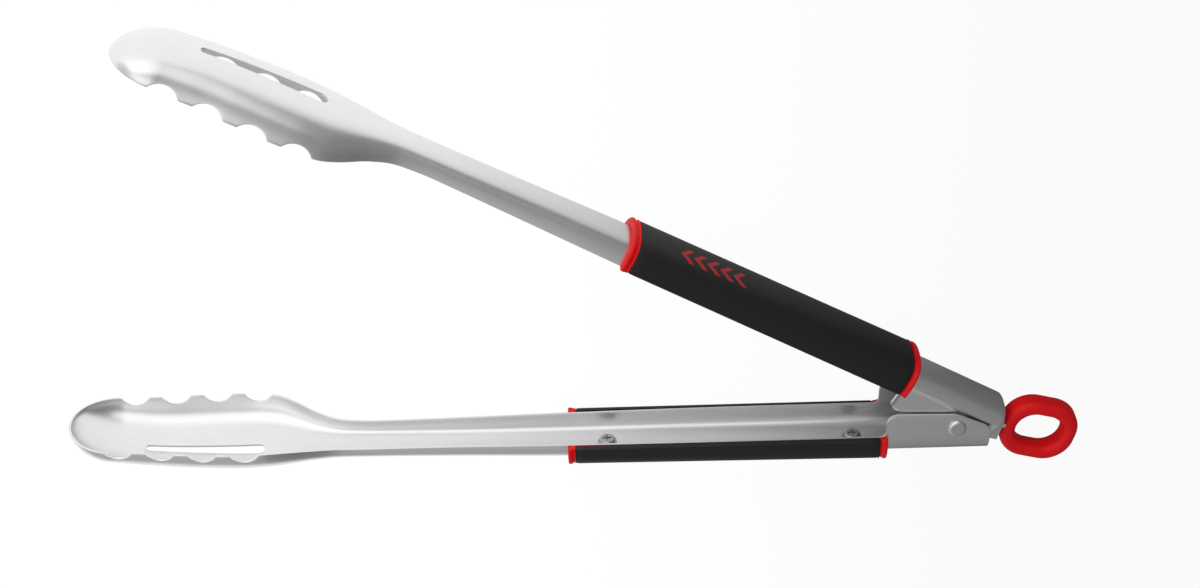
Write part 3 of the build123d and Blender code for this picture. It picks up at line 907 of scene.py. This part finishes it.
def pale_floor():
    fresh()
    bpy.ops.mesh.primitive_plane_add(size=2 * FLOOR_HALF, location=(0, 0, -FLOOR_DROP))
    floor = named("pale_floor")
    finish = Finish(bpy.data.materials.new("pale_table"))
    place = finish.node("ShaderNodeTexCoord", output="Object")
    across = finish.node("ShaderNodeSeparateXYZ", None, {0: place}, output="X")
    share = (across - REFLECTION_PAINT_FADE[0]) * (1 / (REFLECTION_PAINT_FADE[1] - REFLECTION_PAINT_FADE[0]))
    # Painted glow and painted reflection tone: the table glows and darkens from left to right only to paint bright
    # and dark reflections on the steel.
    painted_glow_tone = finish.node("ShaderNodeValToRGB", {"stops": greys((0, 0.56), (1, 0.03))}, {"Fac": share})
    painted_reflection_tone = finish.node("ShaderNodeValToRGB", {"stops": greys((0, 0.8), (1, 0.22))}, {"Fac": share})
    painted_reflection_table = principled(
        finish,
        **{
            "Base Color": painted_reflection_tone,
            "Roughness": 0.9,
            "Emission Color": painted_glow_tone,
            "Emission Strength": 1.0,
        },
    )
    glow = finish.node("ShaderNodeEmission", None, {"Color": (1, 1, 1, 1), "Strength": SEEN_GLOW})
    seen = finish.node("ShaderNodeLightPath", output="Is Camera Ray")
    shown = finish.node("ShaderNodeMixShader", None, {0: SEEN_SHARE * seen, 1: painted_reflection_table, 2: glow})
    floor.data.materials.append(finish.close(shown))
    return floor


floor = pale_floor()
print("floor", 2 * FLOOR_HALF, "m wide")

# %% World and lights
WORLD_STRENGTH = 1.0

WORLD_ACROSS = greys((0, 0.62), (0.375, 0.72), (0.475, 0.66), (0.54, 0.42), (0.7, 0.28), (1, 0.2))
WORLD_AWAY = greys((0, 0.6), (0.4, 0.8), (0.55, 1.0), (1, 1.0))


def studio_world():
    """A grey room: dim on the far side and to the right, brighter overhead and to the left."""
    world = bpy.data.worlds.new("studio")
    bpy.context.scene.world = world
    finish = Finish(world, "ShaderNodeOutputWorld")
    direction = finish.node("ShaderNodeTexCoord", output="Generated")
    across = finish.node("ShaderNodeSeparateXYZ", None, {0: direction}, output="X")
    away = finish.node("ShaderNodeSeparateXYZ", None, {0: direction}, output="Y")
    left_to_right = finish.node("ShaderNodeValToRGB", {"stops": WORLD_ACROSS}, {"Fac": 0.5 * across + 0.5})
    far_to_near = finish.node("ShaderNodeValToRGB", {"stops": WORLD_AWAY}, {"Fac": 0.5 * away + 0.5})
    tone = finish.node(
        "ShaderNodeMix",
        {"data_type": "RGBA", "blend_type": "MULTIPLY"},
        {0: 1.0, 6: left_to_right, 7: far_to_near},
        output=2,
    )
    finish.close(finish.node("ShaderNodeBackground", None, {"Color": tone, "Strength": WORLD_STRENGTH}))


def soft_light(name, place, aim, size, power):
    """A rectangular area light that faces the point it is aimed at."""
    lamp = bpy.data.lights.new(name, "AREA")
    lamp.shape, lamp.energy = "RECTANGLE", power
    lamp.size, lamp.size_y = size
    light = bpy.data.objects.new(name, lamp)
    bpy.context.scene.collection.objects.link(light)
    light.location = place
    light.rotation_euler = (Vector(aim) - Vector(place)).to_track_quat("-Z", "Y").to_euler()
    return light


studio_world()
key = soft_light("key_light", (-1.0, 0.15, 1.5), (0, 0, 0), (1.3, 1.3), 3)
panel = soft_light("near_panel", (-0.3, 1.0, 0.45), (-0.1, 0, 0), (1.6, 0.9), 3.4)
print("lights:", key.name, "and", panel.name)

# %% Camera
CAMERA_FROM_HINGE = Vector((-0.15172, 0.52245, 0.68289))
AIM_FROM_HINGE = Vector((-0.15784, 0.0696, 0.0))
CAMERA_ROLL = radians(178.778)
CAMERA_LENS = 56.62

eye, aim = HINGE + CAMERA_FROM_HINGE, HINGE + AIM_FROM_HINGE
camera_data = bpy.data.cameras.new("camera")
camera = bpy.data.objects.new("camera", camera_data)
bpy.context.scene.collection.objects.link(camera)
camera_data.lens, camera_data.sensor_width = CAMERA_LENS, 36.0
looking = (aim - eye).to_track_quat("-Z", "Y").to_matrix() @ Matrix.Rotation(CAMERA_ROLL, 3, "Z")
camera.location, camera.rotation_euler = eye, looking.to_euler()
bpy.context.scene.camera = camera
bpy.context.scene.view_settings.view_transform = "Standard"
print("camera", round((aim - eye).length, 3), "m from its aim")
